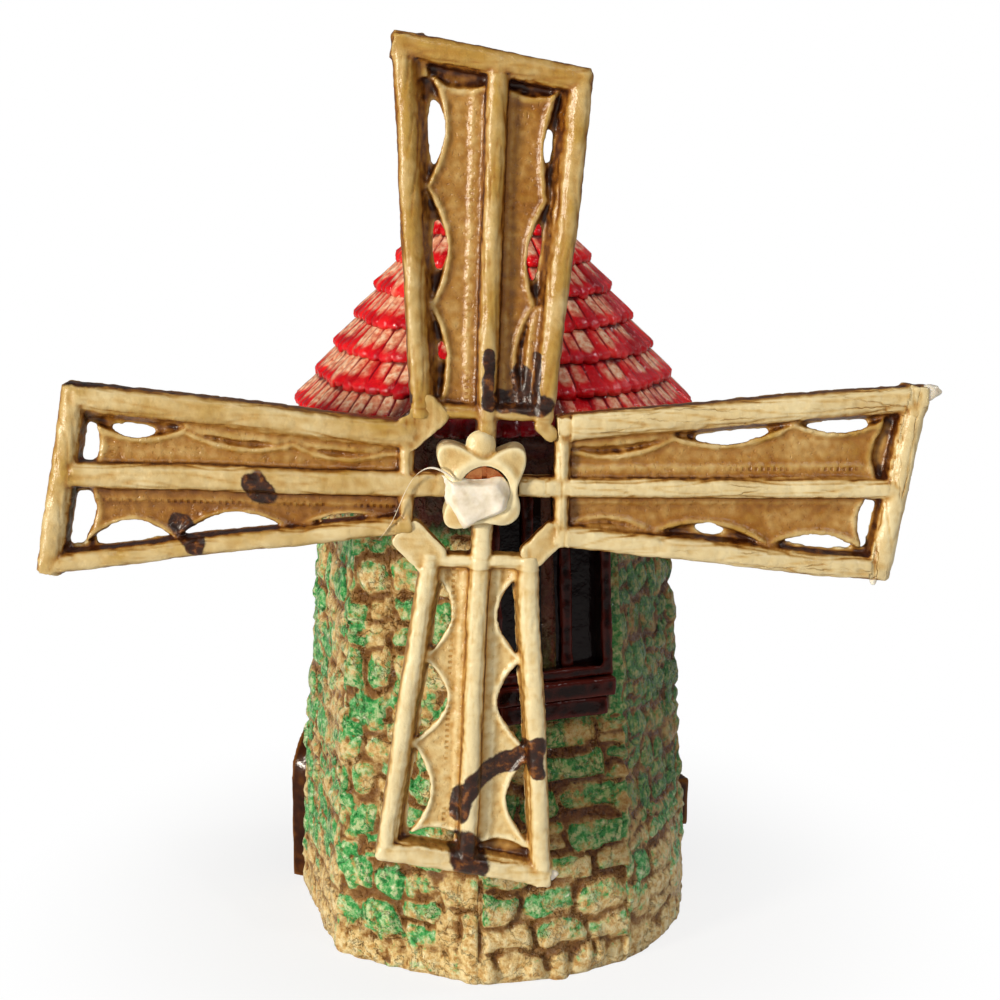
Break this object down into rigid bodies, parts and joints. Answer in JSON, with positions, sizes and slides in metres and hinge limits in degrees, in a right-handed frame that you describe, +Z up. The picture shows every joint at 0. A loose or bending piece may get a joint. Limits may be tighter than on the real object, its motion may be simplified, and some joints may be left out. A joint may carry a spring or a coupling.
{
  "type": "garden windmill ornament",
  "caption": "Glazed earthenware garden windmill: octagonal stone-block tower with green and tan glaze, red shingled conical roof, cream lattice sail cross turning on a screw.",
  "frame": {"origin": "centre of the foot of the tower, on the ground", "axes": "+Z up the tower; the sails face -Y and turn about an axle parallel to Y; +X is to the right when looking at the sails"},
  "size_m": [0.222, 0.138, 0.2562],
  "materials": {
    "stone_glaze": "gloss",
    "roof_glaze": "gloss",
    "brown_glaze": "gloss",
    "dark_glaze": "gloss",
    "cream_glaze": "gloss",
    "copper_plating": "satin",
    "zinc_plating": "satin",
    "white_glue": "satin"
  },
  "bodies": {
    "tower": {"tower_shell": "stone_glaze", "roof_cap": "roof_glaze", "window_frame": "brown_glaze", "window_bars": "brown_glaze", "window_pane": "dark_glaze", "window_sill": "brown_glaze", "window_step": "brown_glaze", "door_frame": "brown_glaze", "door_leaf": "brown_glaze", "cellar_window": "brown_glaze", "axle_boss": "brown_glaze", "axle_bush": "zinc_plating", "spacer_washer": "zinc_plating"},
    "sails": {"axle_screw": "copper_plating", "back_washer": "zinc_plating", "axle_nut": "zinc_plating", "hub": "cream_glaze", "sail_top": "cream_glaze", "sail_right": "cream_glaze", "sail_bottom": "cream_glaze", "sail_left": "cream_glaze", "hub_seal": "white_glue"}
  },
  "joints": [
    {"name": "sail_spin", "type": "hinge", "parent": "tower", "child": "sails", "pos_m": [-0.00513, -0.0699, 0.145], "axis": [0, -1, 0], "continuous": true}
  ]
}
